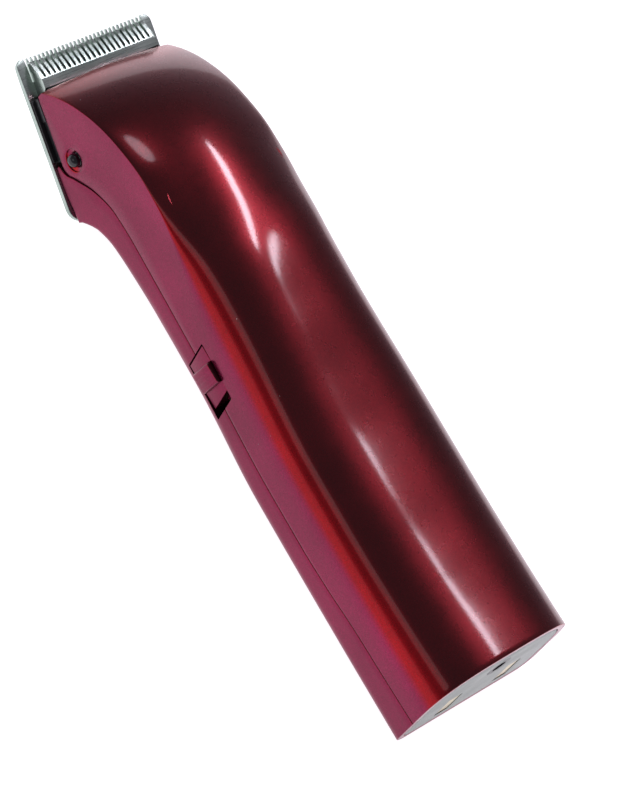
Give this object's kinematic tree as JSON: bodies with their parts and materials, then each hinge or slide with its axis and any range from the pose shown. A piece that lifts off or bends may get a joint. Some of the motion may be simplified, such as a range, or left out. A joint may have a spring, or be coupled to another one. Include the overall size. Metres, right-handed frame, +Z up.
{
  "type": "cordless animal clipper",
  "caption": "Slim cordless electric clipper: curved two-shell grip, angled comb and sliding cutter blades, side slide switch, release button, charging end cap.",
  "frame": {"origin": "centre of the resting footprint's box, on the surface the clipper lies on", "axes": "+Z up through the glossy cover, -Y towards the blade, +Y towards the butt, +X towards the switch and button"},
  "size_m": [0.042, 0.1693, 0.0354],
  "materials": {
    "candy_red": "clear-coated metallic paint over ABS",
    "satin_red": "satin pearl paint over ABS",
    "cap_grey": "fine-grained moulding",
    "gilt_contact": "bright plated strip",
    "black_plastic": "moulded, slight sheen",
    "cell_sleeve": "shrink sleeve",
    "nickel_strip": "plain rolled strip",
    "board_green": "solder mask over glass epoxy",
    "component_dark": "moulded and sleeved components",
    "motor_steel": "zinc-plated drawn steel",
    "ivory_acetal": "natural acetal",
    "magnet_dark": "sintered ferrite",
    "copper_winding": "enamelled copper wire",
    "bright_steel": "ground and polished",
    "blade_steel": "hardened, ground and lapped",
    "screw_steel": "zinc-plated",
    "button_black": "polished"
  },
  "bodies": {
    "grip": {"upper_shell": "candy_red", "lower_shell": "satin_red", "end_cap": "cap_grey", "charging_contacts": "gilt_contact", "charging_socket": "black_plastic", "battery_cell_left": "cell_sleeve", "battery_cell_right": "cell_sleeve", "battery_link": "nickel_strip", "battery_terminals": "nickel_strip", "battery_tray": "black_plastic", "circuit_board": "board_green", "board_components": "component_dark", "switch_body": "component_dark", "motor_can": "motor_steel", "motor_end_bell": "ivory_acetal", "motor_magnets": "magnet_dark", "motor_terminals": "gilt_contact", "chassis": "black_plastic", "motor_screws": "screw_steel", "housing_screws": "screw_steel", "lever_pivot_pin": "bright_steel", "lever_clip": "screw_steel", "comb_blade": "blade_steel", "blade_carrier": "black_plastic", "cutter_spring": "bright_steel", "blade_screws": "screw_steel", "button_spring": "bright_steel"},
    "rotor": {"motor_shaft": "bright_steel", "motor_armature": "copper_winding", "eccentric": "ivory_acetal"},
    "lever": {"drive_lever": "ivory_acetal"},
    "cutter": {"cutter_blade": "blade_steel", "cutter_yoke": "ivory_acetal"},
    "switch": {"switch_slider": "satin_red"},
    "button": {"release_button": "button_black"}
  },
  "joints": [
    {"name": "motor_spin", "type": "hinge", "parent": "grip", "child": "rotor", "pos_m": [0, -0.03886, 0.01719], "axis": [0, 0.9979, -0.0644], "continuous": true},
    {"name": "lever_swing", "type": "hinge", "parent": "grip", "child": "lever", "pos_m": [0, -0.05905, 0.01163], "axis": [0, 0.3777, 0.9259], "range_deg": [-5.68, 5.68]},
    {"name": "cutter_slide", "type": "slide", "parent": "grip", "child": "cutter", "axis": [1, 0, 0], "range_m": [-0.00129, 0.00129]},
    {"name": "switch_slide", "type": "slide", "parent": "grip", "child": "switch", "axis": [0, 0.9979, -0.0644], "range_m": [0, 0.002]},
    {"name": "button_press", "type": "slide", "parent": "grip", "child": "button", "axis": [-1, 0, 0], "range_m": [0, 0.001], "stiffness_N_per_m": 200, "springref_m": -0.001, "deforming": ["button_spring"]}
  ],
  "couplings": [
    {"joint": "lever_swing", "follows": "cutter_slide", "rad_per_m": 76.9}
  ]
}
